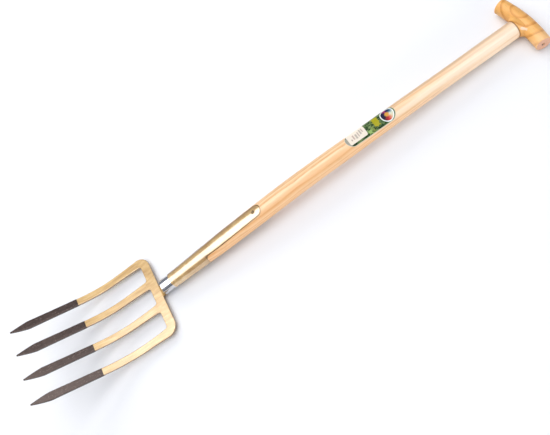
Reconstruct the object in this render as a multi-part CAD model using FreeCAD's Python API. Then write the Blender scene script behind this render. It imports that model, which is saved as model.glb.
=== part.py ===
"""Four-tine digging fork: forged head, bright neck collar, strapped socket, ash shaft and T-grip.

Everything is built in the tool frame, in millimetres: X runs from the tines to the grip, Y across the
tines, Z out of the head's front face, with the origin at the middle of the crossbar's tine-side edge.
The finished fork is then laid down, front face up, on the flat heel of its tang and the underside of
the grip, and moved so that its origin is at the middle of its footprint.
"""

import FreeCAD, Part
import math
import os
from FreeCAD import Vector

# Head: a flat forged crossbar with four tines.
TINE_CENTRES = {"tine_1": 82.7, "tine_2": 27.9, "tine_3": -27.9, "tine_4": -82.7}
TINE_CONVERGENCE = 0.051      # share of its offset that a tine moves inwards from heel to tip
TINE_FLAT = 58.0              # straight run next to the crossbar
TINE_BEND = (84.0, -23.5)     # length and turn of the bend towards the front
TINE_BLADE = 107.3            # straight run from the bend to the shoulder of the point
TINE_POINT = 37.0             # length of the tapered point
ROOT_WIDTH = 18.0
MIDDLE_WIDTH = 14.6
SHOULDER_WIDTH = 16.0
TIP_WIDTH = 2.2
ROOT_SPREAD = 22.0            # distance over which the root width fades out
HEAD_THICK = 7.5
SHOULDER_THICK = 6.8
TIP_THICK = 2.2
FRONT_EDGE_R = 1.2
BACK_EDGE_R = 2.8
POINT_FULLNESS = 1.3          # above 1 the point's sides are bowed outwards
LOFT_STEP = 15.0              # spacing of the sections that a tine is lofted through
DIP_START = 149.0             # distance along a tine to the edge of the dark dip
DIP_THICK = 0.35
CROSSBAR_WIDTH = 19.5
CROSSBAR_CORNER_R = 23.0
GAP_CORNER_R = 5.0

# Tang, collar, socket and shaft share one bent axis; distances along it start at AXIS_START.
AXIS_START = Vector(23.5, 0, 5.5)
AXIS_RISE = 4.75
AXIS_RUNS = ((279.5, 0.0), (120.0, -4.0), (200.0, -0.55), (400.0, 0.0))
TANG_D = 19.0
TANG_END = 96.0
# Heel of the tang: (x, half width, underside, top, corner radius), from inside the crossbar outwards.
HEEL_SECTIONS = (
    (11.0, 12.0, -5.6, -1.5, 2.0), (17.2, 12.3, -7.0, -1.2, 2.8), (20.6, 12.6, -8.8, 0.2, 4.2),
    (24.0, 12.9, -9.5, 4.2, 6.4), (28.0, 13.2, -9.2, 12.5, 9.6), (32.5, 13.4, -8.4, 20.4, 13.0),
)
COLLAR_D = 30.0
COLLAR_START = 4.5
COLLAR_LEAN = 13.0            # the collar's seat leans back over the shaft by this angle
COLLAR_EDGE = 0.8
SPIGOT_LENGTH = 32.0
SPIGOT_CHAMFER = 1.5

SOCKET_START = 30.6
SOCKET_PROFILE = (
    (30.6, 31.3), (64.0, 32.3), (92.0, 34.0), (120.0, 36.0), (148.0, 38.2), (190.0, 39.3),
    (232.0, 40.3), (266.0, 40.2),
)
SOCKET_WALL = 1.8
CUTOUT_START = 118.0
CUTOUT_CORNER_R = 8.0
CUTOUT_HALF_START = 13.2
CUTOUT_HALF_END = 17.2
STRAP_END = 261.0
STRAP_END_R = 11.9
RIVET_AT = 244.5
RIVET_D = 4.5
RIVET_HEAD_D = 6.2
RIVET_SINK = 0.5
STRAP_CURVE_DROP = 0.15       # the strap's curved face drops this much over the rivet's width
COUNTERSINK_D = 8.4

SHAFT_START = 71.0
SHAFT_PROFILE = (
    (71.0, 31.5), (92.0, 33.0), (120.0, 35.0), (148.0, 37.3), (190.0, 38.4), (232.0, 39.3),
    (262.0, 39.1), (330.0, 38.6), (385.0, 37.8), (450.0, 37.0), (520.0, 35.2), (583.0, 34.5),
    (640.0, 33.4), (700.0, 32.9), (760.0, 33.3), (812.5, 33.5),
)
SHOULDER_CHAMFER = 0.6
TENON_D = 19.0
TENON_LENGTH = 22.0

# T-grip: a bowed round bar with a flared boss where it sits on the shaft's shoulder.
GRIP_BOW_R = 348.0
GRIP_RISE = 20.3              # shoulder to the bar's centre line
GRIP_HALF = 58.0
GRIP_MIDDLE_D = 29.0
GRIP_END_D = 27.5
GRIP_RIM_R = 1.6
# Boss: (distance from the shoulder, width across, depth front to back).
BOSS_STEPS = (
    (0.0, 33.7, 33.7), (3.5, 35.8, 33.2), (8.0, 47.0, 30.8), (12.5, 64.0, 27.5), (17.0, 82.0, 23.0),
)
CENTRE_MARK_D = 3.0
CENTRE_MARK_DEPTH = 2.5
PIN_D = 5.0
PIN_LENGTH = 20.0
PIN_PROUD = 7.0               # length outside its mouth before the dowel is cut flush
PIN_MOUTH = Vector(6.8, -15.6, 11.0)
PIN_HEADING = Vector(-0.38, 0.91, -0.12)

# Paper label on the front of the shaft, and the price sticker on it.
LABEL_X = (477.8, 583.6)
LABEL_HALF = 14.2
LABEL_THICK = 0.2
PAPER_STRETCH = (385.0, 640.0)    # stretch of the shaft that the papers are wrapped on
PAPER_REACH = 30.0                # depth of the prisms that cut the papers out
STICKER_X = (483.8, 520.6)
STICKER_Y = (-10.2, 14.0)
STICKER_CORNER_R = 3.0
STICKER_THICK = 0.15


def run_frame(runs, start, heading, distance):
    """Point and direction at a distance along straight runs and arcs in the XZ plane."""
    x, z, angle = start.x, start.z, math.radians(heading)
    for length, turn in runs:
        step = min(distance, length)
        bend = math.radians(turn) * step / length
        chord = step if bend == 0 else 2 * step / bend * math.sin(bend / 2)
        x += chord * math.cos(angle + bend / 2)
        z += chord * math.sin(angle + bend / 2)
        angle += bend
        distance -= step
        if distance <= 0:
            break
    return Vector(x, 0, z), Vector(math.cos(angle), 0, math.sin(angle))


def axis_frame(distance):
    """Point and direction on the common axis of tang, collar, socket and shaft."""
    return run_frame(AXIS_RUNS, AXIS_START, AXIS_RISE, distance)


def circle_wire(centre, normal, radius):
    return Part.Wire([Part.makeCircle(radius, centre, normal)])


def polyline_face(points):
    return Part.Face(Part.makePolygon(list(points) + [points[0]]))


def corner_arc(centre, radius, first, last, place):
    """Arc between two angles in degrees; place() maps flat coordinates to space."""
    ends = []
    for angle in (first, (first + last) / 2, last):
        turn = math.radians(angle)
        ends.append(place(centre[0] + radius * math.cos(turn), centre[1] + radius * math.sin(turn)))
    return Part.Arc(*ends).toShape()


def joined_arcs(arcs):
    """Closed wire of the given arcs, with a straight edge from each one to the next."""
    edges = []
    for i, arc in enumerate(arcs):
        edges.append(arc)
        here = arc.Vertexes[-1].Point
        there = arcs[(i + 1) % len(arcs)].Vertexes[0].Point
        if here.distanceToPoint(there) > 1e-6:
            edges.append(Part.makeLine(here, there))
    return Part.Wire(edges)


# ---- head ----

TINE_RUNS = ((TINE_FLAT, 0.0), TINE_BEND, (TINE_BLADE + TINE_POINT + DIP_THICK, 0.0))
SHOULDER_AT = TINE_FLAT + TINE_BEND[0] + TINE_BLADE
TIP_AT = SHOULDER_AT + TINE_POINT


def tine_size(distance):
    """Width and thickness of a tine at a distance from the crossbar."""
    if distance > SHOULDER_AT:
        along = min(1.0, (distance - SHOULDER_AT) / TINE_POINT)
        left = 1 - along ** POINT_FULLNESS
        width = TIP_WIDTH + (SHOULDER_WIDTH - TIP_WIDTH) * left
        return width, TIP_THICK + (SHOULDER_THICK - TIP_THICK) * left
    root = math.exp(-max(0.0, distance - GAP_CORNER_R) / ROOT_SPREAD)
    blade = max(0.0, (distance - TINE_FLAT - TINE_BEND[0]) / TINE_BLADE) ** 2
    width = MIDDLE_WIDTH + (ROOT_WIDTH - MIDDLE_WIDTH) * root + (SHOULDER_WIDTH - MIDDLE_WIDTH) * blade
    return width, HEAD_THICK + (SHOULDER_THICK - HEAD_THICK) * blade


def tine_section(offset, distance, grow=0.0):
    """Rounded flat-bar section across a tine, its front face on the tine's front line."""
    point, way = run_frame(TINE_RUNS, Vector(0, 0, 0), 180.0, distance)
    front = Vector(way.z, 0, -way.x)
    inwards = max(0.0, (distance - TINE_FLAT) / (TIP_AT - TINE_FLAT))
    middle = point + Vector(0, offset * (1 - TINE_CONVERGENCE * inwards), 0)
    width, thick = tine_size(distance)
    edge = min(FRONT_EDGE_R, 0.3 * thick) + grow
    back = min(BACK_EDGE_R, 0.38 * thick) + grow
    half = width / 2 + grow
    top = grow
    bottom = -thick - grow

    def place(across, out):
        return middle + Vector(0, across, 0) + front * out

    return joined_arcs([
        corner_arc((half - edge, top - edge), edge, 0, 90, place),
        corner_arc((edge - half, top - edge), edge, 90, 180, place),
        corner_arc((back - half, bottom + back), back, 180, 270, place),
        corner_arc((half - back, bottom + back), back, 270, 360, place),
    ])


def tine_body(offset, grow=0.0):
    """Tine from heel to tip: one smooth loft for the blade and one for the point."""
    stops = (GAP_CORNER_R, TINE_FLAT, TINE_FLAT + TINE_BEND[0], SHOULDER_AT)
    blade = [stops[0]]
    for first, last in zip(stops, stops[1:]):
        steps = round((last - first) / LOFT_STEP)
        blade += [first + (last - first) * i / steps for i in range(1, steps + 1)]
    point = [SHOULDER_AT + TINE_POINT * i / 5 for i in range(6)]
    point[-1] += grow
    shank = Part.makeLoft([tine_section(offset, at, grow) for at in blade], True, False)
    spear = Part.makeLoft([tine_section(offset, at, grow) for at in point], True, False)
    return shank.fuse(spear).removeSplitter()


def make_dip(offset, tine):
    """Thin dark coat over the lower part of one tine, from a straight edge across it to the tip."""
    edge, way = run_frame(TINE_RUNS, Vector(0, 0, 0), 180.0, DIP_START)
    front = Vector(way.z, 0, -way.x)
    side = 2 * ROOT_WIDTH
    across = Vector(0, side, 0)
    corner = edge + Vector(0, offset, 0) - across / 2 - front * side / 2
    square = polyline_face([corner, corner + across, corner + across + front * side, corner + front * side])
    lower_part = square.extrude(way * (TIP_AT - DIP_START + side))
    return tine_body(offset, DIP_THICK).common(lower_part).cut(tine)


def make_crossbar():
    """Flat bar with rounded rear corners and four short stubs that the tines grow out of."""
    half = ROOT_WIDTH / 2
    outer = max(TINE_CENTRES.values()) + half
    rear = CROSSBAR_WIDTH - CROSSBAR_CORNER_R
    straight = outer - CROSSBAR_CORNER_R

    def place(x, y):
        return Vector(x, y, 0)

    gaps = []
    centres = sorted(TINE_CENTRES.values(), reverse=True)
    for here, below in zip(centres, centres[1:]):
        high = here - half - GAP_CORNER_R
        low = below + half + GAP_CORNER_R
        gaps.append(corner_arc((-GAP_CORNER_R, high), GAP_CORNER_R, 90, 0, place))
        gaps.append(corner_arc((-GAP_CORNER_R, low), GAP_CORNER_R, 0, -90, place))
    outline = joined_arcs(
        [Part.makeLine(place(-GAP_CORNER_R, -outer), place(rear, -outer))]
        + [corner_arc((rear, -straight), CROSSBAR_CORNER_R, 270, 360, place)]
        + [corner_arc((rear, straight), CROSSBAR_CORNER_R, 0, 90, place)]
        + [Part.makeLine(place(rear, outer), place(-GAP_CORNER_R, outer))]
        + gaps
    )
    plate = Part.Face(outline).extrude(Vector(0, 0, -HEAD_THICK))
    for level, radius in ((0.0, FRONT_EDGE_R), (-HEAD_THICK, BACK_EDGE_R)):
        rims = [
            e for e in plate.Edges
            if all(abs(v.Z - level) < 1e-6 for v in e.Vertexes)
            and abs(e.CenterOfMass.z - level) < 1e-6
            and not all(abs(v.X + GAP_CORNER_R) < 1e-6 for v in e.Vertexes)
        ]
        plate = plate.makeFillet(radius, rims)
    return plate


# ---- tang, collar, socket and shaft ----

def turned(profile):
    """Solid of revolution about the straight part of the axis from (distance, radius) points."""
    point, way = axis_frame(0)
    across = Vector(-way.z, 0, way.x)
    points = [point + way * at + across * radius for at, radius in profile]
    return polyline_face(points).revolve(point, way, 360)


def smooth_turned(profile, grow, first, last):
    """Solid of revolution whose outline is a smooth curve through (distance, diameter) points."""
    point, way = axis_frame(0)
    across = Vector(-way.z, 0, way.x)
    curve = Part.BSplineCurve()
    curve.interpolate([point + way * at + across * (size / 2 + grow) for at, size in profile])
    edge = curve.toShape()
    low = point + way * first
    high = point + way * last
    outline = Part.Wire([
        edge,
        Part.makeLine(edge.Vertexes[-1].Point, high),
        Part.makeLine(high, low),
        Part.makeLine(low, edge.Vertexes[0].Point),
    ])
    return Part.Face(outline).revolve(point, way, 360)


def heel_section(x, half, low, high, corner):
    """Rounded rectangle across the heel of the tang."""
    def place(across, up):
        return Vector(x, across, up)

    return joined_arcs([
        corner_arc((half - corner, high - corner), corner, 0, 90, place),
        corner_arc((corner - half, high - corner), corner, 90, 180, place),
        corner_arc((corner - half, low + corner), corner, 180, 270, place),
        corner_arc((half - corner, low + corner), corner, 270, 360, place),
    ])


def beyond_seat(back_off):
    """Large block on the shaft's side of the collar's leaning seat, moved back by a small distance."""
    base, way = axis_frame(0)
    reach = 5 * COLLAR_D
    block = Part.makeBox(reach, 2 * reach, 2 * reach, Vector(0, -reach, -reach))
    block.rotate(Vector(0, 0, 0), Vector(0, 1, 0), COLLAR_LEAN - AXIS_RISE)
    block.translate(base + way * (COLLAR_START - back_off))
    return block


def make_tang(crossbar):
    """Forged heel that rises from the crossbar's rear edge, and the round tang driven into the shaft."""
    heel = Part.makeLoft([heel_section(*step) for step in HEEL_SECTIONS], True, False)
    radius = TANG_D / 2
    rod = turned([
        (0, 0), (0, radius), (TANG_END - radius, radius), (TANG_END, radius / 3), (TANG_END, 0),
    ])
    tang = heel.cut(beyond_seat(0)).fuse(rod.common(beyond_seat(0.3)))
    return tang.cut(crossbar)


def make_collar(tang):
    """Bright turned collar between heel and socket, with a spigot inside the socket."""
    radius = COLLAR_D / 2
    inner = SOCKET_PROFILE[0][1] / 2 - SOCKET_WALL
    end = SOCKET_START + SPIGOT_LENGTH
    blank = turned([
        (-radius, 0), (-radius, radius), (SOCKET_START, radius), (SOCKET_START, inner),
        (end - SPIGOT_CHAMFER, inner), (end, inner - SPIGOT_CHAMFER), (end, 0),
    ])
    collar = blank.common(beyond_seat(0))
    rim = min((e for e in collar.Edges if e.isClosed()), key=lambda e: e.CenterOfMass.x)
    return collar.makeFillet(COLLAR_EDGE, [rim]).cut(tang)


def lower_place(along, out):
    """Point in the XZ plane at a distance along the lower axis and a height off it."""
    point, way = axis_frame(0)
    return point + way * along + Vector(-way.z, 0, way.x) * out


def side_cutout():
    """Prism that opens both sides of the socket, leaving a strap at the front and one at the back."""
    corner = CUTOUT_CORNER_R
    low = CUTOUT_HALF_START
    arcs = [
        corner_arc((CUTOUT_START + corner, low - corner), corner, 90, 180, lower_place),
        corner_arc((CUTOUT_START + corner, corner - low), corner, 180, 270, lower_place),
    ]
    far = STRAP_END + 30
    top = arcs[0].Vertexes[0].Point
    bottom = arcs[1].Vertexes[-1].Point
    ends = [lower_place(far, -CUTOUT_HALF_END), lower_place(far, CUTOUT_HALF_END)]
    outline = Part.Wire([
        arcs[0],
        Part.makeLine(arcs[0].Vertexes[-1].Point, arcs[1].Vertexes[0].Point),
        arcs[1],
        Part.makeLine(bottom, ends[0]),
        Part.makeLine(ends[0], ends[1]),
        Part.makeLine(ends[1], top),
    ])
    prism = Part.Face(outline).extrude(Vector(0, 2 * COLLAR_D, 0))
    prism.translate(Vector(0, -COLLAR_D, 0))
    return prism


def strap_end_trim():
    """Prism outside the rounded ends of the straps, seen from the front."""
    point, way = axis_frame(0)
    up = Vector(-way.z, 0, way.x)

    def place(along, across):
        return point + way * along + Vector(0, across, 0) - up * COLLAR_D

    centre = STRAP_END - STRAP_END_R
    nose = corner_arc((centre, 0), STRAP_END_R, 90, -90, place)
    far = STRAP_END + 40
    corners = [place(centre, -COLLAR_D), place(far, -COLLAR_D), place(far, COLLAR_D), place(centre, COLLAR_D)]
    points = [nose.Vertexes[-1].Point] + corners + [nose.Vertexes[0].Point]
    edges = [nose] + [Part.makeLine(a, b) for a, b in zip(points, points[1:])]
    return Part.Face(Part.Wire(edges)).extrude(up * (2 * COLLAR_D))


def rivet_profile(surface, hole):
    """Half outline of the rivet, or of the hole with its countersinks, as (height, radius) points."""
    if hole:
        slope = (COUNTERSINK_D - RIVET_D) / 2
        rim = surface + 1.0
        return [
            (-rim, 0), (-rim, COUNTERSINK_D / 2 + 1.0), (-surface + slope, RIVET_D / 2),
            (surface - slope, RIVET_D / 2), (rim, COUNTERSINK_D / 2 + 1.0), (rim, 0),
        ]
    head = (RIVET_HEAD_D - RIVET_D) / 2
    top = surface - RIVET_SINK
    return [
        (-top, 0), (-top, RIVET_HEAD_D / 2), (-top + head, RIVET_D / 2),
        (top - head, RIVET_D / 2), (top, RIVET_HEAD_D / 2), (top, 0),
    ]


def make_rivet(surface, hole=False):
    """Through-rivet of the two straps, square to the shaft, or the hole that it fills."""
    point, way = axis_frame(RIVET_AT)
    up = Vector(-way.z, 0, way.x)
    points = [point + up * height + way * radius for height, radius in rivet_profile(surface, hole)]
    return polyline_face(points).revolve(point, up, 360)


def make_socket(rivet_hole):
    """Conical socket of even wall, opened at the sides into two riveted straps."""
    first = SOCKET_PROFILE[0][0]
    last = SOCKET_PROFILE[-1][0]
    shell = smooth_turned(SOCKET_PROFILE, 0.0, first, last)
    bore = smooth_turned(SOCKET_PROFILE, -SOCKET_WALL, first, last)
    return shell.cut(bore).cut(side_cutout()).cut(strap_end_trim()).cut(rivet_hole)


def shaft_diameter(distance):
    for (a, size_a), (b, size_b) in zip(SHAFT_PROFILE, SHAFT_PROFILE[1:]):
        if distance <= b:
            return size_a + (size_b - size_a) * (distance - a) / (b - a)
    return SHAFT_PROFILE[-1][1]


def shaft_envelope(first, last, grow=0.0):
    """Round bar that follows the bent axis between two distances, with the shaft's own taper."""
    inside = [at for at, _ in SHAFT_PROFILE if first < at < last]
    wires = []
    for at in [first] + inside + [last]:
        point, way = axis_frame(at)
        wires.append(circle_wire(point, way, shaft_diameter(at) / 2 + grow))
    return Part.makeLoft(wires, True, False)


def shoulder_trim():
    """Ring outside the small chamfer round the shaft's shoulder."""
    end, radius = SHAFT_PROFILE[-1][0], SHAFT_PROFILE[-1][1] / 2
    reach = 2 * SHOULDER_CHAMFER
    base, way = axis_frame(end - SHOULDER_CHAMFER)
    ring = Part.makeCylinder(radius + reach, reach, base, way)
    return ring.cut(Part.makeCone(radius + 0.02, radius + 0.02 - reach, reach, base, way))


def make_shaft(socket, tang, rivet_hole, pin):
    """Ash shaft: recessed under socket, straps and rivet heads, with a tenon for the grip."""
    end = SHAFT_PROFILE[-1][0]
    body = shaft_envelope(SHAFT_START, end).cut(shoulder_trim())
    base, way = axis_frame(end - SHOULDER_CHAMFER)
    tenon = Part.makeCylinder(TENON_D / 2, SHOULDER_CHAMFER + TENON_LENGTH, base, way)
    return body.fuse(tenon).cut(socket).cut(tang).cut(rivet_hole).cut(pin)


# ---- grip ----

def grip_place(along, across, up):
    """Point given from the shaft's shoulder: along the axis, across it, and up to the front."""
    point, way = axis_frame(SHAFT_PROFILE[-1][0])
    return point + way * along + Vector(0, across, 0) + Vector(-way.z, 0, way.x) * up


def grip_bar():
    """Round bar, thickest in the middle, bowed so that its ends drop towards the shaft."""
    _, way = axis_frame(SHAFT_PROFILE[-1][0])
    swing = GRIP_HALF / GRIP_BOW_R
    wires = []
    for i in range(-4, 5):
        angle = swing * i / 4
        centre = grip_place(
            GRIP_RISE - GRIP_BOW_R * (1 - math.cos(angle)), GRIP_BOW_R * math.sin(angle), 0)
        heading = Vector(0, math.cos(angle), 0) - way * math.sin(angle)
        size = GRIP_END_D + (GRIP_MIDDLE_D - GRIP_END_D) * math.cos(math.pi * i / 8) ** 2
        wires.append(circle_wire(centre, heading, size / 2))
    bar = Part.makeLoft(wires, True, False)
    rims = [e for e in bar.Edges if e.isClosed() and abs(e.CenterOfMass.y) > GRIP_HALF - 3]
    return bar.makeFillet(GRIP_RIM_R, rims)


def grip_boss():
    """Flared foot of the grip: round on the shaft's shoulder, widening into the bar."""
    _, way = axis_frame(SHAFT_PROFILE[-1][0])
    wires = []
    for at, wide, deep in BOSS_STEPS:
        centre = grip_place(at, 0, 0)
        side = centre + Vector(0, wide / 2, 0)
        front = grip_place(at, 0, deep / 2)
        if wide > deep:
            wires.append(Part.Wire([Part.Ellipse(side, front, centre).toShape()]))
        else:
            wires.append(circle_wire(centre, way, wide / 2))
    return Part.makeLoft(wires, True, False)


def make_pin(grip):
    """Ash dowel driven at a slant through the boss and the tenon, cut flush with the wood."""
    mouth = grip_place(PIN_MOUTH.x, PIN_MOUTH.y, PIN_MOUTH.z)
    way = Vector(PIN_HEADING).normalize()
    rod = Part.makeCylinder(PIN_D / 2, PIN_PROUD + PIN_LENGTH, mouth - way * PIN_PROUD, way)
    return rod.common(grip)


def centre_marks():
    """Small lathe-centre holes in the two end faces of the grip."""
    _, way = axis_frame(SHAFT_PROFILE[-1][0])
    swing = GRIP_HALF / GRIP_BOW_R
    marks = []
    for side in (-1, 1):
        heading = Vector(0, side * math.cos(swing), 0) - way * math.sin(swing)
        face = grip_place(
            GRIP_RISE - GRIP_BOW_R * (1 - math.cos(swing)), side * GRIP_BOW_R * math.sin(swing), 0)
        base = face - heading * CENTRE_MARK_DEPTH
        marks.append(Part.makeCone(0.2, CENTRE_MARK_D / 2, CENTRE_MARK_DEPTH, base, heading))
    return marks


def make_grip(blank, pin):
    """Grip blank with its mortise, its pin hole and the centre marks."""
    point, way = axis_frame(SHAFT_PROFILE[-1][0])
    grip = blank.cut(Part.makeCylinder(TENON_D / 2, TENON_LENGTH, point, way)).cut(pin)
    for mark in centre_marks():
        grip = grip.cut(mark)
    return grip


# ---- label ----

def stadium_wire(first, last, half, level):
    def place(x, y):
        return Vector(x, y, level)

    return joined_arcs([
        corner_arc((last - half, 0), half, -90, 90, place),
        corner_arc((first + half, 0), half, 90, 270, place),
    ])


def rounded_box_wire(xs, ys, radius, level):
    def place(x, y):
        return Vector(x, y, level)

    return joined_arcs([
        corner_arc((xs[1] - radius, ys[1] - radius), radius, 0, 90, place),
        corner_arc((xs[0] + radius, ys[1] - radius), radius, 90, 180, place),
        corner_arc((xs[0] + radius, ys[0] + radius), radius, 180, 270, place),
        corner_arc((xs[1] - radius, ys[0] + radius), radius, 270, 360, place),
    ])


def wrapped_skin(outline, inner, grow):
    """Thin skin on the shaft's front with the given outline, seen from the front."""
    outer = shaft_envelope(*PAPER_STRETCH, grow)
    cutter = Part.Face(outline).extrude(Vector(0, 0, PAPER_REACH))
    return outer.common(cutter).cut(inner)


def make_label(shaft):
    level = axis_frame(LABEL_X[0])[0].z + 3
    outline = stadium_wire(LABEL_X[0], LABEL_X[1], LABEL_HALF, level)
    return wrapped_skin(outline, shaft, LABEL_THICK)


def make_sticker(shaft, label):
    level = axis_frame(LABEL_X[0])[0].z + 3
    outline = rounded_box_wire(STICKER_X, STICKER_Y, STICKER_CORNER_R, level)
    return wrapped_skin(outline, shaft, LABEL_THICK + STICKER_THICK).cut(label)


# ---- assembly ----

def build_parts():
    parts = {"crossbar": make_crossbar()}
    for name, offset in TINE_CENTRES.items():
        parts[name] = tine_body(offset)
        parts[name + "_dip"] = make_dip(offset, parts[name])
    parts["tang"] = make_tang(parts["crossbar"])
    parts["neck_collar"] = make_collar(parts["tang"])
    strap_surface = SOCKET_PROFILE[-1][1] / 2 - STRAP_CURVE_DROP
    rivet_hole = make_rivet(strap_surface, hole=True)
    parts["strap_rivet"] = make_rivet(strap_surface)
    parts["socket"] = make_socket(rivet_hole)
    blank = grip_bar().fuse(grip_boss())
    parts["grip_pin"] = make_pin(blank)
    parts["shaft"] = make_shaft(
        parts["socket"], parts["tang"], rivet_hole, parts["grip_pin"])
    parts["t_grip"] = make_grip(blank, parts["grip_pin"])
    parts["label"] = make_label(parts["shaft"])
    parts["price_sticker"] = make_sticker(parts["shaft"], parts["label"])
    return parts


def resting_tilt(tang):
    """Angle in degrees of the line that touches the heel's underside and the grip's thickest part."""
    grip = grip_place(GRIP_RISE, 0, 0)
    tilt = math.radians(AXIS_RISE / 2)
    for _ in range(4):
        laid = tang.copy()
        laid.rotate(grip, Vector(0, 1, 0), math.degrees(tilt))
        low = laid.optimalBoundingBox(False, False).ZMin
        tilt += math.asin((grip.z - GRIP_MIDDLE_D / 2 - low) / (grip.x - AXIS_START.x))
    return math.degrees(tilt)


def lay_down(parts):
    """Turns the fork onto its resting line and puts the origin at the middle of its footprint."""
    tilt = resting_tilt(parts["tang"])
    box = FreeCAD.BoundBox()
    for shape in parts.values():
        shape.rotate(Vector(0, 0, 0), Vector(0, 1, 0), tilt)
        box.add(shape.optimalBoundingBox(False, False))
    shift = Vector(-(box.XMin + box.XMax) / 2, -(box.YMin + box.YMax) / 2, -box.ZMin)
    for shape in parts.values():
        shape.translate(shift)
    print("tilt %.4f degrees, shift (%.3f, %.3f, %.3f) mm" % (tilt, shift.x, shift.y, shift.z))


def main():
    os.makedirs("parts", exist_ok=True)
    parts = build_parts()
    lay_down(parts)
    for name, shape in parts.items():
        print("%-14s solids %d valid %s volume %.1f" % (
            name, len(shape.Solids), shape.isValid(), shape.Volume))
        shape.exportStep("parts/%s.step" % name)


main()
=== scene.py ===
import math

import bpy
from mathutils import Matrix, Vector

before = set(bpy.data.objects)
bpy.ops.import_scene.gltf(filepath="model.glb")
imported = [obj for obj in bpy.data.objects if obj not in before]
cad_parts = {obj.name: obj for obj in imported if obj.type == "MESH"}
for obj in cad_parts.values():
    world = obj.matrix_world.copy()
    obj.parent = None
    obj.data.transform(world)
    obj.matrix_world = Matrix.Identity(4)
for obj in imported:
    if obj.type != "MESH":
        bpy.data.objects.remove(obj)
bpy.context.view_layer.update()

# The tool frame of the CAD: X from the tines to the grip, Y across the tines, Z out of the head's
# front face. The fork lies in the row frame turned by TILT about Y and then moved by SHIFT, in metres.
TILT = math.radians(2.1963)
SHIFT = Vector((-0.300041, 0.0, 0.012085))
TO_ROW = Matrix.Translation(SHIFT) @ Matrix.Rotation(TILT, 4, "Y")

# Camera in the tool frame, metres: place, and the directions to its right and downwards.
CAMERA_AT = Vector((0.39217, -0.49830, 0.91223))
CAMERA_RIGHT = Vector((0.8134, -0.4705, -0.3420))
CAMERA_DOWN = Vector((-0.5734, -0.7474, -0.3355))
LENS = 35.28
SENSOR = 36.0
VIEW_SHIFT = (0.0009, -0.0013)
CLIP = (0.05, 50.0)

# Lights: (name, place, aim, size x, size y, turn in degrees, watts, lights matt surfaces, shows in
# reflections), in the row frame.
LIGHTS = (
    ("softbox", (-0.1, -0.53, 2.2), (-0.1, -0.53, 0.0), 3.8, 2.85, -12.0, 112.0, False, True),
    ("overhead", (-0.2, 0.2, 2.2), (0.0, 0.0, 0.0), 3.0, 2.2, 0.0, 42.0, True, False),
    ("key", (-0.35, 2.2, 1.15), (0.0, 0.0, 0.0), 3.0, 1.4, 0.0, 47.0, True, False),
    ("fill", (0.3, -2.1, 0.45), (0.0, 0.0, 0.0), 3.0, 0.8, 0.0, 33.0, True, False),
)
# World: the colour low down and the colour high up, each with its height on the ramp.
WORLD_STOPS = ((0.05, (0.145, 0.15, 0.17, 1)), (0.75, (0.39, 0.41, 0.465, 1)))
FLOOR_COLOUR = (0.80, 0.805, 0.82, 1)
FLOOR_HALF = 6.0
FLOOR_DROP = 0.0004       # keeps the floor clear of the heel and the grip that rest on it

# Places on the fork, in metres, in the tool frame.
AXIS_START = (0.0235, 0.0055)       # x and z where the axis of socket and shaft begins
AXIS_RISE = 4.75                    # degrees by which that axis first rises
CUTOUT_START = 0.118                # along the axis, where the socket opens into two straps
CUTOUT_HALF = (0.126, 0.0132, 0.0242)   # a place along the axis, the half opening there, its growth
STRAP_NOSE = 0.2491                 # along the axis, middle of the straps' rounded ends
STRAP_SHADE_LINE = (0.0018, 0.0008)       # past the straps' straight edges, where the painted shadow line fades in
NOSE_SHADE_LINE = (0.0098, 0.0107)        # radii between which it fades in round the straps' ends
SHOULDER_X = 0.8349                 # the shaft's end, under the grip
GRIP_END = (0.8494, 0.0369)         # x and z of the middle of the grip's end faces
END_GRAIN_FROM = (0.0535, 0.0550)   # distance from the middle at which the grip's end grain comes in
LABEL_SPAN = (0.4778, 0.5836)
LABEL_HALF = 0.0142
LABEL_BORDER = 0.0007
EMBLEM_AT = (0.5675, 0.0)
EMBLEM_R = 0.0132
EMBLEM_RIM = 0.0016
EMBLEM_CORE_R = 0.0042

# Directions for wood: how much the grain is squeezed across X, Y and Z.
ALONG_X = (3.2, 42.0, 42.0)
ALONG_Y = (46.0, 5.0, 46.0)
ACROSS_SHAFT = (60.0, 8.0, 60.0)


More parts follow.
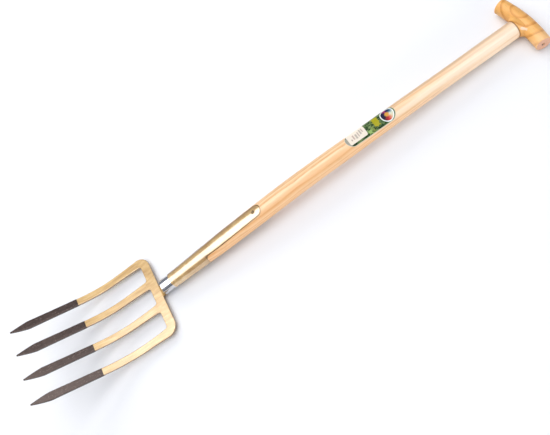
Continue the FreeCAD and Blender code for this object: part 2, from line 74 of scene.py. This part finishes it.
class Paint:
    """A material's node tree, with one short call for each kind of node."""

    def __init__(self, name):
        self.material = bpy.data.materials.new(name)
        self.material.use_nodes = True
        self.tree = self.material.node_tree
        self.tree.nodes.clear()
        self.shader = self.node("BsdfPrincipled")
        out = self.node("OutputMaterial")
        self.tree.links.new(self.shader.outputs[0], out.inputs["Surface"])

    def feed(self, socket, value):
        if isinstance(value, bpy.types.NodeSocket):
            self.tree.links.new(value, socket)
        else:
            socket.default_value = value

    def node(self, kind, inputs=None, **settings):
        made = self.tree.nodes.new("ShaderNode" + kind)
        for key, value in settings.items():
            setattr(made, key, value)
        for key, value in (inputs or {}).items():
            self.feed(made.inputs[key], value)
        return made

    def set(self, **values):
        """Feeds the Principled shader; underscores in a name stand for spaces."""
        for key, value in values.items():
            self.feed(self.shader.inputs[key.replace("_", " ")], value)

    # Numbers.

    def calc(self, operation, a, b=0.0):
        return self.node("Math", {0: a, 1: b}, operation=operation).outputs[0]

    def times(self, a, b):
        return self.calc("MULTIPLY", a, b)

    def minus(self, a, b):
        return self.calc("SUBTRACT", a, b)

    def absolute(self, a):
        return self.calc("ABSOLUTE", a)

    def sum(self, *terms):
        total = terms[0]
        for term in terms[1:]:
            total = self.calc("ADD", total, term)
        return total

    def blend(self, *parts):
        """Sum of (value, share) pairs."""
        return self.sum(*[self.times(value, share) for value, share in parts])

    def length(self, *sides):
        """Square root of the sum of the squares."""
        return self.calc("SQRT", self.blend(*[(side, side) for side in sides]))

    def smooth(self, value, low, high):
        """0 at low and 1 at high, smooth between and level beyond; low may be above high."""
        made = self.node("MapRange", {0: value, 1: low, 2: high}, interpolation_type="SMOOTHSTEP")
        return made.outputs[0]

    # Colours.

    def mix(self, a, b, factor):
        return self.node("Mix", {0: factor, 6: a, 7: b}, data_type="RGBA").outputs[2]

    def ramp(self, value, stops, interpolation="LINEAR"):
        """Colour or grey level at each (place, level) stop, and between them."""
        made = self.node("ValToRGB", {0: value})
        ramp = made.color_ramp
        ramp.interpolation = interpolation
        while len(ramp.elements) < len(stops):
            ramp.elements.new(0.5)
        for element, (at, level) in zip(ramp.elements, stops):
            element.position = at
            element.color = (*level, 1) if isinstance(level, tuple) else (level, level, level, 1)
        return made.outputs[0]

    # Places and textures.

    def tool(self, turn=(0, 0, 0), stretch=(1, 1, 1)):
        """Position in the tool frame, then turned in degrees and stretched."""
        here = self.node("TexCoord").outputs["Object"]
        placed = self.node(
            "Mapping", {"Vector": here, "Location": SHIFT, "Rotation": (0, TILT, 0)}, vector_type="TEXTURE")
        turned = self.node("Mapping", {
            "Vector": placed.outputs[0], "Rotation": [math.radians(a) for a in turn], "Scale": stretch})
        return turned.outputs[0]

    def split(self, vector):
        return self.node("SeparateXYZ", {0: vector}).outputs

    def normal(self):
        """The three parts of the direction that the surface faces."""
        return self.split(self.node("TexCoord").outputs["Normal"])

    def noise(self, vector, scale, detail=3.0, rough=0.55, distort=0.0):
        made = self.node("TexNoise", {
            "Vector": vector, "Scale": scale, "Detail": detail, "Roughness": rough, "Distortion": distort})
        return made.outputs["Fac"]

    def wobble(self, noise, reach):
        """A noise turned into an offset, up to half of reach to either side of zero."""
        return self.times(self.minus(noise, 0.5), reach)

    def bump(self, height, distance, strength=1.0):
        made = self.node("Bump", {"Height": height, "Distance": distance, "Strength": strength})
        self.feed(self.shader.inputs["Normal"], made.outputs[0])


# ---- steel ----

LACQUER_STOPS = (
    (0.22, (0.27, 0.12, 0.018)), (0.36, (0.43, 0.235, 0.055)), (0.50, (0.54, 0.33, 0.10)),
    (0.64, (0.66, 0.46, 0.20)),
)
# The colour of the painted shade on the lacquer.
LACQUER_PAINTED_SHADE = (0.16, 0.085, 0.025, 1)
DIP_STOPS = ((0.30, (0.018, 0.011, 0.009)), (0.52, (0.033, 0.021, 0.018)), (0.72, (0.056, 0.037, 0.031)))
DIP_SHEEN = (1.0, 0.82, 0.75, 1)
COLLAR_STOPS = ((0.3, (0.66, 0.66, 0.68)), (0.7, (0.76, 0.76, 0.77)))
RIVET_STOPS = ((0.3, (0.10, 0.07, 0.035)), (0.7, (0.24, 0.17, 0.08)))


def painted_wall_shade(paint):
    """How much painted shade the lacquer gets: dark on the side walls of the flat head, none on its faces.
    """
    _, _, upright = paint.normal()
    return paint.times(paint.smooth(paint.absolute(upright), 0.80, 0.35), 0.85)


def painted_strap_shade(paint):
    """How much painted shade the lacquer gets on the socket: a thin painted shadow line round the straps,
    and a darker far side.
    """
    x, y, z = paint.split(paint.tool())
    rise = math.radians(AXIS_RISE)
    dx = paint.minus(x, AXIS_START[0])
    dz = paint.minus(z, AXIS_START[1])
    along = paint.blend((dx, math.cos(rise)), (dz, math.sin(rise)))
    out = paint.minus(paint.times(dz, math.cos(rise)), paint.times(dx, math.sin(rise)))
    measured_at, half_there, growth = CUTOUT_HALF
    half = paint.sum(half_there, paint.times(paint.minus(along, measured_at), growth))
    edge = paint.smooth(paint.minus(paint.absolute(out), half), *STRAP_SHADE_LINE)
    edge = paint.times(edge, paint.smooth(along, CUTOUT_START - 0.001, CUTOUT_START + 0.001))
    past = paint.calc("MAXIMUM", paint.minus(along, STRAP_NOSE), 0.0)
    nose = paint.smooth(paint.length(past, y), *NOSE_SHADE_LINE)
    nose = paint.times(nose, paint.smooth(along, STRAP_NOSE - 0.0011, STRAP_NOSE + 0.0004))
    _, sideways, _ = paint.normal()
    # Painted shade on the socket's +Y side, from the way the surface faces.
    painted_far_shade = paint.smooth(sideways, 0.05, 0.75)
    return paint.blend((paint.calc("MAXIMUM", edge, nose), 0.9), (painted_far_shade, 0.9))


def gold_lacquer(name, grain_turn, stretch, streak, coat=2.0, painted_shade=painted_wall_shade, shade_dulls_coat=0.0):
    """Clear golden lacquer over forged steel, faintly streaked along the given direction, with shade
    painted on where the given shade function puts it.
    """
    paint = Paint(name)
    streaks = paint.noise(paint.tool(grain_turn, stretch), 1.0, detail=4.0, rough=0.6)
    clouds = paint.noise(paint.tool(), 38.0, detail=3.0)
    scale = paint.noise(paint.tool(), 420.0, detail=2.0)
    tone = paint.blend((streaks, streak), (clouds, 0.97 - streak))
    # Painted shade: how far the lacquer is darkened toward its shade colour.
    rim = paint.calc("MINIMUM", painted_shade(paint), 1.0)
    paint.set(
        Base_Color=paint.mix(paint.ramp(tone, LACQUER_STOPS), LACQUER_PAINTED_SHADE, rim),
        Metallic=0.25, Coat_Weight=1.0, Coat_Roughness=0.20, Coat_IOR=coat,
        Roughness=paint.ramp(clouds, ((0.3, 0.30), (0.7, 0.42))),
    )
    # Where shade is painted, the coat can be weakened too, which dims the highlight there.
    if shade_dulls_coat:
        paint.set(Coat_Weight=paint.minus(1.0, paint.times(rim, shade_dulls_coat)))
    paint.bump(paint.blend((clouds, 0.7), (scale, 0.3)), 0.0009, 0.35)
    return paint.material


def dip_coating():
    """Dull dark brown dip coat with a faint mottle."""
    paint = Paint("dip_coating")
    mottle = paint.noise(paint.tool(stretch=(1, 2, 2)), 160.0, detail=4.0, rough=0.65)
    clouds = paint.noise(paint.tool(), 45.0, detail=2.0)
    paint.set(
        Base_Color=paint.ramp(paint.blend((mottle, 0.6), (clouds, 0.4)), DIP_STOPS),
        Roughness=paint.ramp(mottle, ((0.3, 0.22), (0.7, 0.29))),
        Specular_IOR_Level=0.70, Specular_Tint=DIP_SHEEN,
    )
    paint.bump(mottle, 0.0004, 0.16)
    return paint.material


def bright_steel():
    """Polished collar with fine lines round it from the lathe."""
    paint = Paint("bright_steel")
    lines = paint.noise(paint.tool((0, AXIS_RISE, 0), (2600, 12, 12)), 1.0, detail=2.0)
    smear = paint.noise(paint.tool(), 120.0)
    paint.set(
        Base_Color=paint.ramp(smear, COLLAR_STOPS), Metallic=1.0,
        Roughness=paint.ramp(lines, ((0.3, 0.10), (0.7, 0.17))),
    )
    paint.bump(lines, 0.00006, 0.4)
    return paint.material


def rivet_steel():
    """Dull hammered rivet head, browned with lacquer."""
    paint = Paint("rivet_steel")
    dents = paint.noise(paint.tool(), 700.0, detail=2.0)
    paint.set(
        Base_Color=paint.ramp(dents, RIVET_STOPS), Metallic=0.1,
        Roughness=paint.ramp(dents, ((0.3, 0.50), (0.7, 0.65))), Specular_IOR_Level=0.25,
    )
    paint.bump(dents, 0.0006, 0.7)
    return paint.material


# ---- wood ----

# Each wood's dark, middle and pale tone.
SHAFT_TONES = ((0.58, 0.27, 0.09), (0.77, 0.47, 0.235), (0.84, 0.60, 0.36))
GRIP_TONES = ((0.52, 0.20, 0.033), (0.72, 0.34, 0.072), (0.79, 0.44, 0.14))
DOWEL_TONES = ((0.66, 0.43, 0.26), (0.79, 0.56, 0.38), (0.84, 0.64, 0.47))
RING_WANDER = 0.008           # how far the rings wander, in metres

# The heart line that the shaft's rings run round: the y and z that it starts from, how it nears the
# shaft sideways, the x of the shaft's bend, and its climb on either side of the bend.
HEART_Y = 0.034
HEART_Z = -0.056
HEART_NEARING = 0.008
HEART_BEND_X = 0.36
HEART_CLIMB = (0.066, 0.008)
GRIP_HEART = (0.8585, 0.017, 0.050)
GRIP_HEART_SQUASH = (0.62, 0.8)     # of the arcs along Y and along Z

# Tints of the shaft, and the x between which some come in or go out along the label.
SIDE_ORANGE = (0.66, 0.31, 0.10, 1)
GRIPWARD_PALE = (0.88, 0.76, 0.61, 1)
STREAK_ORANGE = (0.72, 0.43, 0.20, 1)
# Painted shade: a darker orange where the shaft's lower side faces −Y.
LOW_SHADE_ORANGE = (0.70, 0.38, 0.17, 1)
# Painted highlight: a cream band down the middle of the side that faces −Y.
MIDDLE_PAINTED_HIGHLIGHT = (0.90, 0.85, 0.71, 1)
# Painted shade: brown on the shaft's +Y side, deepening past the label.
FAR_PAINTED_SHADE = (0.45, 0.27, 0.15, 1)
SIDE_BAND = ((-0.0035, -0.0085), (-0.0170, -0.0125))    # y where the side's orange comes and goes
LABEL_START = 0.46
PAST_LABEL = (LABEL_START, 0.60)
BEFORE_LABEL = (0.56, LABEL_START)
FAR_SHADE_DEEPENS = (LABEL_START, 0.66)
PALES = (LABEL_START, 0.86)

# Tints of the grip, and where each comes in: the mark by its radius, the joint by its distance past
# the shoulder, the outer edge by x and the near end by y.
END_GRAIN_STOPS = ((0.3, (0.70, 0.40, 0.26)), (0.7, (0.50, 0.25, 0.15)))
LATHE_MARK = (0.09, 0.035, 0.02, 1)
OUTER_ORANGE = (0.64, 0.25, 0.045, 1)
NEAR_PALE = (0.86, 0.62, 0.38, 1)
JOINT_BROWN = (0.20, 0.09, 0.03, 1)
END_ARC_SPACING = 0.0026
MARK_FADE = (0.0034, 0.0022)
JOINT_FADE = (0.0022, 0.0009)
OUTER_FADE = (0.860, 0.873)
NEAR_FADE = (-0.030, -0.052)


def ring_pattern(paint, distance, spacing, wander, early):
    """0 to 1 across each growth ring: pale early wood that darkens and ends sharply."""
    rough = paint.sum(distance, paint.wobble(wander, RING_WANDER))
    share = paint.calc("FRACT", paint.calc("DIVIDE", rough, spacing))
    return paint.times(paint.smooth(share, early, 0.86), paint.smooth(share, 1.0, 0.90))


def ash_wood(name, tones, grain, distance_from, spacing, ringed, early=0.15, tint=None):
    """Ash: growth rings, long fibres and short open pores. grain stretches along the fibres."""
    dark, middle, pale = tones
    paint = Paint(name)
    wander = paint.noise(paint.tool(stretch=grain), 0.35, detail=2.0)
    rings = ring_pattern(paint, distance_from(paint), spacing, wander, early)
    fibres = paint.noise(paint.tool(stretch=grain), 6.0, detail=4.0, rough=0.62)
    broad = paint.noise(paint.tool(stretch=grain), 0.9, detail=2.0)
    pores = paint.noise(paint.tool(stretch=[3.5 * g for g in grain]), 5.0, detail=1.0)
    pores = paint.smooth(pores, 0.66, 0.72)
    tone = paint.blend((rings, ringed), (fibres, 0.42), (broad, 0.72 - ringed))
    colour = paint.ramp(tone, ((0.30, pale), (0.55, middle), (0.82, dark)))
    colour = paint.mix(colour, (*[0.45 * c for c in dark], 1), paint.times(pores, 0.30))
    if tint is not None:
        colour = tint(paint, colour)
    paint.set(
        Base_Color=colour, Roughness=paint.ramp(fibres, ((0.3, 0.40), (0.7, 0.54))),
        Coat_Weight=0.22, Coat_Roughness=0.28, Specular_IOR_Level=0.45,
    )
    paint.bump(paint.blend((fibres, 0.6), (pores, -0.5), (rings, 0.2)), 0.00035, 0.5)
    return paint.material


def shaft_rings(paint):
    """Distance from a heart line that runs beside the bent shaft and slowly nears it."""
    x, y, z = paint.split(paint.tool())
    across = paint.sum(y, paint.times(x, HEART_NEARING), -HEART_Y)
    lower = paint.times(paint.calc("MINIMUM", x, HEART_BEND_X), HEART_CLIMB[0])
    upper = paint.times(paint.calc("MAXIMUM", x, HEART_BEND_X), HEART_CLIMB[1])
    height = paint.minus(paint.minus(z, paint.sum(lower, upper)), HEART_Z)
    return paint.length(across, height)


def grip_rings(paint):
    """Rings that the bowed bar cuts at a slant, so that they show as nested arcs beside the shaft."""
    x, y, z = paint.split(paint.tool())
    across = paint.minus(x, GRIP_HEART[0])
    along = paint.times(paint.minus(y, GRIP_HEART[1]), GRIP_HEART_SQUASH[0])
    depth = paint.times(paint.minus(z, GRIP_HEART[2]), GRIP_HEART_SQUASH[1])
    return paint.length(along, across, depth)


def shaft_tint(paint, colour):
    """An orange band low on the side and a paler, streakier upper end; painted shade as darker orange low
    on the −Y side and brown on the +Y side, and a painted highlight as a cream band facing −Y.
    """
    x, y, _ = paint.split(paint.tool())
    _, sideways, upwards = paint.normal()
    past_label = paint.smooth(x, *PAST_LABEL)
    side = paint.sum(y, paint.wobble(paint.noise(paint.tool(stretch=(5, 1, 1)), 1.0), 0.010))
    band = paint.times(paint.smooth(side, *SIDE_BAND[0]), paint.smooth(side, *SIDE_BAND[1]))
    streaks = paint.smooth(paint.noise(paint.tool(stretch=(4, 170, 170)), 1.0, detail=2.0), 0.50, 0.68)
    # Painted shade on the lower −Y side, found from the way the surface faces.
    low = paint.times(paint.smooth(upwards, 0.68, 0.44), paint.smooth(sideways, -0.45, -0.60))
    # Painted highlight on the band that faces −Y, found from the way the surface faces.
    middle = paint.times(paint.smooth(sideways, -0.93, -0.72), paint.smooth(sideways, -0.22, -0.50))
    # Painted shade on the +Y side, found from the way the surface faces.
    far = paint.smooth(sideways, 0.15, 0.50)
    far_shade_share = paint.sum(paint.times(paint.smooth(x, *FAR_SHADE_DEEPENS), 0.35), 0.35)
    for tint, share in (
            (SIDE_ORANGE, paint.times(band, 0.52)),
            (GRIPWARD_PALE, paint.times(paint.smooth(x, *PALES), 0.62)),
            (STREAK_ORANGE, paint.times(paint.times(streaks, past_label), 0.45)),
            (LOW_SHADE_ORANGE, paint.times(paint.times(low, paint.smooth(x, *BEFORE_LABEL)), 0.38)),
            (MIDDLE_PAINTED_HIGHLIGHT, paint.times(paint.times(middle, past_label), 0.42)),
            (FAR_PAINTED_SHADE, paint.times(far, far_shade_share)),
    ):
        colour = paint.mix(colour, tint, share)
    return colour


def grip_tint(paint, colour):
    """Pinkish end grain with a dark lathe mark, an orange outer edge and a dark joint at the shaft."""
    x, y, z = paint.split(paint.tool())
    _, sideways, _ = paint.normal()
    facing = paint.smooth(paint.absolute(sideways), 0.72, 0.93)
    end = paint.smooth(paint.absolute(y), *END_GRAIN_FROM)
    speck = paint.noise(paint.tool(stretch=(1, 0.2, 1)), 900.0, detail=2.0)
    arcs = paint.calc("DIVIDE", paint.sum(z, paint.times(x, 0.5)), END_ARC_SPACING)
    arcs = paint.calc("FRACT", arcs)
    grain = paint.ramp(paint.blend((speck, 0.7), (arcs, 0.3)), END_GRAIN_STOPS)
    from_middle = paint.length(paint.minus(x, GRIP_END[0]), paint.minus(z, GRIP_END[1]))
    grain = paint.mix(grain, LATHE_MARK, paint.smooth(from_middle, *MARK_FADE))
    joint = paint.smooth(x, *[SHOULDER_X + past for past in JOINT_FADE])
    for tint, share in (
            (OUTER_ORANGE, paint.times(paint.smooth(x, *OUTER_FADE), 0.40)),
            (NEAR_PALE, paint.times(paint.smooth(y, *NEAR_FADE), 0.30)),
            (grain, paint.times(facing, end)),
            (JOINT_BROWN, paint.times(joint, 0.85)),
    ):
        colour = paint.mix(colour, tint, share)
    return colour


# ---- paper ----

# Print on the label: the emblem's sectors by their share of a turn, and the rest by their low and high
# corners in x and y, in metres.
EMBLEM_SECTORS = (
    (0.00, (0.008, 0.010, 0.035)), (0.10, (0.010, 0.008, 0.020)), (0.18, (0.30, 0.015, 0.025)),
    (0.26, (0.52, 0.035, 0.030)), (0.32, (0.62, 0.26, 0.16)), (0.39, (0.64, 0.56, 0.38)),
    (0.48, (0.58, 0.62, 0.50)), (0.55, (0.09, 0.20, 0.26)), (0.62, (0.010, 0.035, 0.090)),
    (0.70, (0.020, 0.015, 0.080)), (0.76, (0.34, 0.04, 0.13)), (0.82, (0.16, 0.02, 0.09)),
    (0.88, (0.010, 0.012, 0.045)),
)
EMBLEM_CORE = (0.62, 0.30, 0.05, 1)
EMBLEM_WHITE = (0.80, 0.82, 0.80, 1)
LEAF_STOPS = (
    (0.24, (0.004, 0.014, 0.005)), (0.44, (0.022, 0.052, 0.015)), (0.60, (0.070, 0.125, 0.040)),
    (0.80, (0.18, 0.25, 0.10)),
)
BLOOMS = (
    ((0.5380, -0.0080), (0.5490, 0.0115), (0.34, 0.31, 0.008)),
    ((0.5300, -0.0125), (0.5350, -0.0040), (0.16, 0.22, 0.05)),
    ((0.5225, -0.0125), (0.5290, -0.0060), (0.26, 0.40, 0.12)),
)
GREY_END = ((0.4785, -0.0105), (0.4868, 0.0075), (0.30, 0.30, 0.25))
BORDER_CREAM = (0.57, 0.54, 0.43, 1)

STICKER_STOPS = ((0.3, (0.71, 0.63, 0.53)), (0.7, (0.77, 0.69, 0.58)))
STICKER_BARS = (
    ((0.4895, -0.0050), (0.4915, -0.0012), (0.10, 0.05, 0.04)),
    ((0.4940, -0.0048), (0.4968, 0.0052), (0.30, 0.17, 0.15)),
    ((0.4990, -0.0060), (0.5025, 0.0040), (0.22, 0.19, 0.16)),
    ((0.5045, -0.0050), (0.5068, 0.0058), (0.27, 0.20, 0.18)),
    ((0.5090, -0.0030), (0.5118, 0.0082), (0.20, 0.17, 0.15)),
    ((0.5135, -0.0010), (0.5158, 0.0080), (0.24, 0.16, 0.14)),
)


def inside(paint, distance, soft=0.0004):
    """1 inside a shape and 0 outside, from the signed distance to its edge."""
    return paint.smooth(distance, soft, -soft)


def disc(paint, x, y, centre, radius):
    """Signed distance to a disc's edge."""
    return paint.minus(paint.length(paint.minus(x, centre[0]), paint.minus(y, centre[1])), radius)


def slab(paint, x, y, low, high):
    """Signed distance to a rectangle's edge."""
    sides = []
    for place, start, end in zip((x, y), low, high):
        from_middle = paint.absolute(paint.minus(place, (start + end) / 2))
        sides.append(paint.minus(from_middle, (end - start) / 2))
    return paint.calc("MAXIMUM", *sides)


def stadium(paint, x, y, first, last, half):
    """Signed distance to a round-ended strip's edge."""
    from_middle = paint.absolute(paint.minus(x, (first + last) / 2))
    reach = paint.minus(from_middle, (last - first) / 2 - half)
    return paint.minus(paint.length(paint.calc("MAXIMUM", reach, 0.0), y), half)


def patches(paint, x, y, ground, shapes, ragged, soft, share=1.0):
    """Rectangles of colour over a ground, their edges made ragged by a distance."""
    for low, high, colour in shapes:
        shape = slab(paint, x, y, low, high)
        if ragged is not None:
            shape = paint.sum(shape, ragged)
        cover = inside(paint, shape, soft)
        if share < 1.0:
            cover = paint.times(cover, share)
        ground = paint.mix(ground, (*colour, 1), cover)
    return ground


def leafy_ground(paint, x, y):
    """Mottled green leaves with a few yellow and green blooms."""
    leaves = paint.node("TexVoronoi", {
        "Vector": paint.tool((0, 0, 35), (1, 2.2, 0.6)), "Scale": 190.0, "Randomness": 1.0})
    cells, _, _ = paint.split(leaves.outputs["Color"])
    shade = paint.noise(paint.tool(), 110.0, detail=4.0, rough=0.65, distort=0.6)
    ground = paint.ramp(paint.blend((cells, 0.45), (shade, 0.60)), LEAF_STOPS)
    sprig = paint.noise(paint.tool((0, 0, 60), (1, 3, 1)), 240.0, detail=2.0)
    return patches(paint, x, y, ground, BLOOMS, paint.wobble(sprig, 0.011), 0.0009)


def roundel(paint, x, y):
    """Colour sectors round a plain orange core."""
    dx = paint.minus(x, EMBLEM_AT[0])
    dy = paint.minus(y, EMBLEM_AT[1])
    turn = paint.calc("DIVIDE", paint.calc("ARCTAN2", dy, dx), 2 * math.pi)
    swirl = paint.wobble(paint.noise(paint.tool(), 300.0), 0.16)
    sectors = paint.ramp(paint.sum(turn, 0.5, swirl), EMBLEM_SECTORS, "EASE")
    core = disc(paint, x, y, EMBLEM_AT, EMBLEM_CORE_R)
    return paint.mix(sectors, EMBLEM_CORE, inside(paint, core, 0.0016))


def label_paper():
    """Printed strip: leafy green ground, blooms, a plain flower roundel and a pale border."""
    paint = Paint("label_paper")
    x, y, _ = paint.split(paint.tool())
    rim = disc(paint, x, y, EMBLEM_AT, EMBLEM_R)
    printed = paint.mix(leafy_ground(paint, x, y), EMBLEM_WHITE, inside(paint, rim))
    printed = paint.mix(printed, roundel(paint, x, y), inside(paint, paint.sum(rim, EMBLEM_RIM)))
    printed = patches(paint, x, y, printed, (GREY_END,), None, 0.0008)
    border = paint.sum(stadium(paint, x, y, *LABEL_SPAN, LABEL_HALF), LABEL_BORDER)
    fibre = paint.noise(paint.tool(), 1800.0, detail=2.0)
    paint.set(
        Base_Color=paint.mix(BORDER_CREAM, printed, inside(paint, border, 0.0003)),
        Roughness=paint.ramp(fibre, ((0.3, 0.42), (0.7, 0.54))), Specular_IOR_Level=0.12,
    )
    paint.bump(fibre, 0.00006, 0.4)
    return paint.material


def sticker_paper():
    """Cream sticker with a few faint plain bars in place of its print."""
    paint = Paint("sticker_paper")
    x, y, _ = paint.split(paint.tool())
    fibre = paint.noise(paint.tool(), 1500.0, detail=3.0)
    blur = paint.wobble(paint.noise(paint.tool(), 600.0), 0.0016)
    ground = paint.ramp(fibre, STICKER_STOPS)
    paint.set(
        Base_Color=patches(paint, x, y, ground, STICKER_BARS, blur, 0.0007, 0.62),
        Roughness=paint.ramp(fibre, ((0.3, 0.5), (0.7, 0.62))), Specular_IOR_Level=0.2,
    )
    paint.bump(fibre, 0.00005, 0.4)
    return paint.material


# ---- assign ----

def make_materials():
    """The material of each node."""
    head_gold = gold_lacquer("head_gold", (0, 0, -12), (26, 130, 40), streak=0.75)
    tine_gold = gold_lacquer("tine_gold", (0, 0, 0), (16, 210, 60), streak=0.75)
    coating = dip_coating()
    materials = {
        "crossbar": head_gold,
        "tang": head_gold,
        "neck_collar": bright_steel(),
        "socket": gold_lacquer(
            "socket_gold", (0, 0, 0), (9, 150, 150), streak=0.30, coat=2.6, painted_shade=painted_strap_shade, shade_dulls_coat=0.8),
        "strap_rivet": rivet_steel(),
        "shaft": ash_wood(
            "shaft_ash", SHAFT_TONES, ALONG_X, shaft_rings, spacing=0.0034, ringed=0.27, tint=shaft_tint),
        "t_grip": ash_wood(
            "grip_ash", GRIP_TONES, ALONG_Y, grip_rings, spacing=0.0125, ringed=0.30, early=0.55,
            tint=grip_tint),
        "grip_pin": ash_wood(
            "dowel_ash", DOWEL_TONES, ACROSS_SHAFT, shaft_rings, spacing=0.002, ringed=0.10),
        "label": label_paper(),
        "price_sticker": sticker_paper(),
    }
    for number in range(1, 5):
        materials["tine_%d" % number] = tine_gold
        materials["tine_%d_dip" % number] = coating
    return materials


def assign(materials):
    for name, material in materials.items():
        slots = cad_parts[name].data.materials
        for i in range(len(slots)):
            slots[i] = material


# ---- stage ----

def make_floor():
    mesh = bpy.data.meshes.new("floor")
    corners = [(x * FLOOR_HALF, y * FLOOR_HALF, 0) for x, y in ((-1, -1), (1, -1), (1, 1), (-1, 1))]
    mesh.from_pydata(corners, [], [(0, 1, 2, 3)])
    floor = bpy.data.objects.new("floor", mesh)
    bpy.context.scene.collection.objects.link(floor)
    paint = Paint("floor_paper")
    paint.set(Base_Color=FLOOR_COLOUR, Roughness=0.7, Specular_IOR_Level=0.2)
    mesh.materials.append(paint.material)
    floor.location.z = -FLOOR_DROP


def make_light(name, place, aim, wide, deep, turn, watts, matt, glossy):
    data = bpy.data.lights.new(name, "AREA")
    data.shape = "RECTANGLE"
    data.size = wide
    data.size_y = deep
    data.energy = watts
    light = bpy.data.objects.new(name, data)
    light.location = place
    light.visible_diffuse = matt
    light.visible_glossy = glossy
    light.rotation_mode = "QUATERNION"
    facing = (Vector(aim) - Vector(place)).to_track_quat("-Z", "Y")
    light.rotation_quaternion = Matrix.Rotation(math.radians(turn), 3, "Z").to_quaternion() @ facing
    bpy.context.scene.collection.objects.link(light)


def make_world():
    world = bpy.data.worlds.new("studio")
    world.use_nodes = True
    bpy.context.scene.world = world
    tree = world.node_tree
    tree.nodes.clear()
    here = tree.nodes.new("ShaderNodeTexCoord")
    parts = tree.nodes.new("ShaderNodeSeparateXYZ")
    ramp = tree.nodes.new("ShaderNodeValToRGB")
    back = tree.nodes.new("ShaderNodeBackground")
    out = tree.nodes.new("ShaderNodeOutputWorld")
    for element, (height, colour) in zip(ramp.color_ramp.elements, WORLD_STOPS):
        element.position = height
        element.color = colour
    tree.links.new(here.outputs["Generated"], parts.inputs[0])
    tree.links.new(parts.outputs["Z"], ramp.inputs[0])
    tree.links.new(ramp.outputs[0], back.inputs["Color"])
    tree.links.new(back.outputs[0], out.inputs["Surface"])


def make_camera():
    data = bpy.data.cameras.new("camera")
    data.lens = LENS
    data.sensor_width = SENSOR
    data.sensor_fit = "HORIZONTAL"
    data.clip_start, data.clip_end = CLIP
    data.shift_x, data.shift_y = VIEW_SHIFT
    camera = bpy.data.objects.new("camera", data)
    right = CAMERA_RIGHT.normalized()
    back = right.cross(-CAMERA_DOWN).normalized()
    up = back.cross(right)
    turn = Matrix((right, up, back)).transposed().to_4x4()
    camera.matrix_world = TO_ROW @ Matrix.Translation(CAMERA_AT) @ turn
    bpy.context.scene.collection.objects.link(camera)
    bpy.context.scene.camera = camera


assign(make_materials())
make_floor()
for light in LIGHTS:
    make_light(*light)
make_world()
make_camera()
view = bpy.context.scene.view_settings
view.view_transform = "Standard"
view.look = "None"
